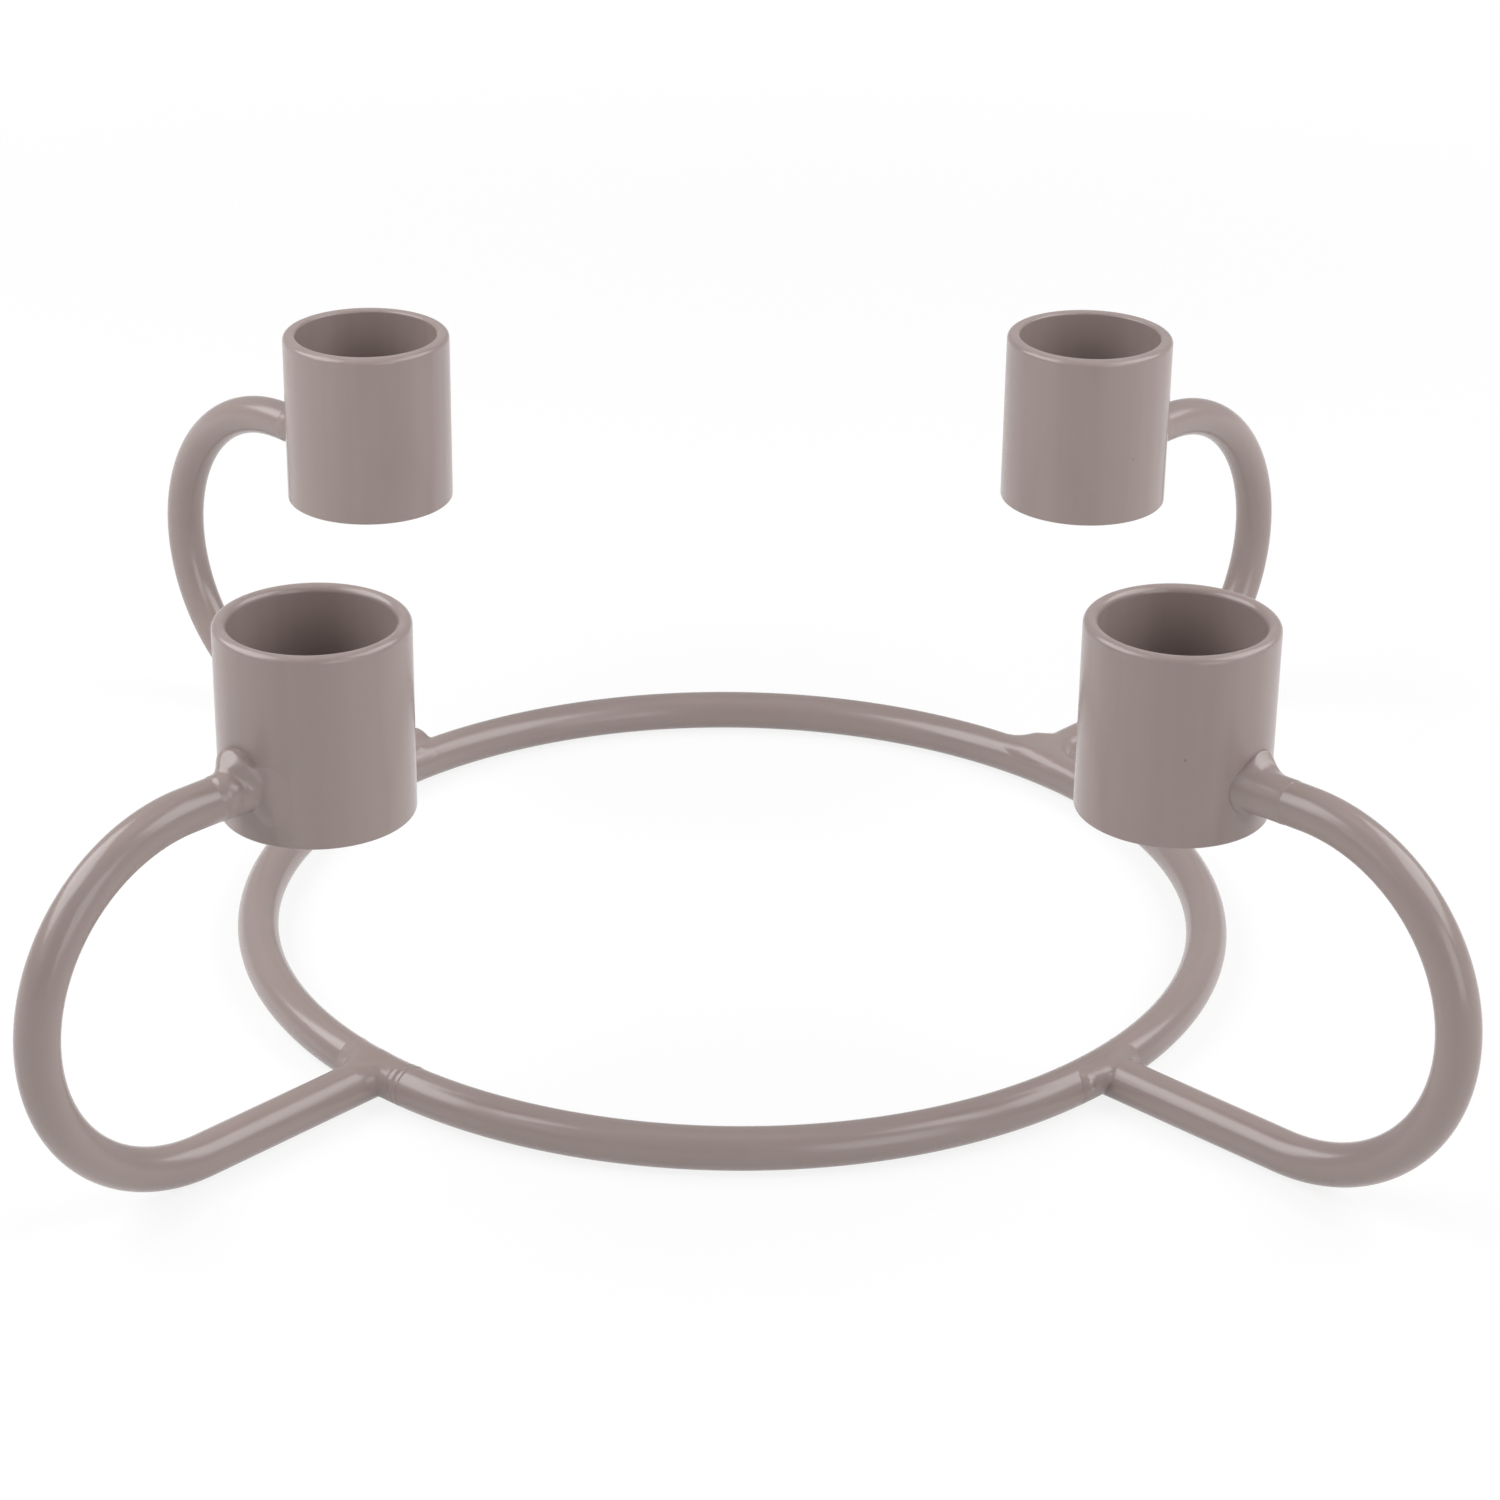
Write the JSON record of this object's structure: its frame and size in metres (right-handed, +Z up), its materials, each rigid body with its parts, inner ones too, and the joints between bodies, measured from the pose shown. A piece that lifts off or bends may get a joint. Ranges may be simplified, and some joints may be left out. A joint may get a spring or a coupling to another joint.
{
  "type": "advent candle holder",
  "caption": "Free-standing advent candle holder: a ring of coated steel rod with arms that curl up and back to carry short tube cups for taper candles.",
  "frame": {"origin": "centre of the base ring, on the surface that the holder stands on", "axes": "+Z up along the ring's axis; +X out along the right arm, +Y out along the back arm"},
  "size_m": [0.261, 0.261, 0.074],
  "materials": {
    "taupe_coat": "satin-gloss taupe coat over welded steel"
  },
  "bodies": {
    "root": {"base_ring": "taupe_coat", "ring_seam_weld": "taupe_coat", "right_arm": "taupe_coat", "right_cup": "taupe_coat", "right_cup_floor": "taupe_coat", "right_ring_weld": "taupe_coat", "right_cup_weld": "taupe_coat", "back_arm": "taupe_coat", "back_cup": "taupe_coat", "back_cup_floor": "taupe_coat", "back_ring_weld": "taupe_coat", "back_cup_weld": "taupe_coat", "left_arm": "taupe_coat", "left_cup": "taupe_coat", "left_cup_floor": "taupe_coat", "left_ring_weld": "taupe_coat", "left_cup_weld": "taupe_coat", "front_arm": "taupe_coat", "front_cup": "taupe_coat", "front_cup_floor": "taupe_coat", "front_ring_weld": "taupe_coat", "front_cup_weld": "taupe_coat"}
  },
  "joints": []
}
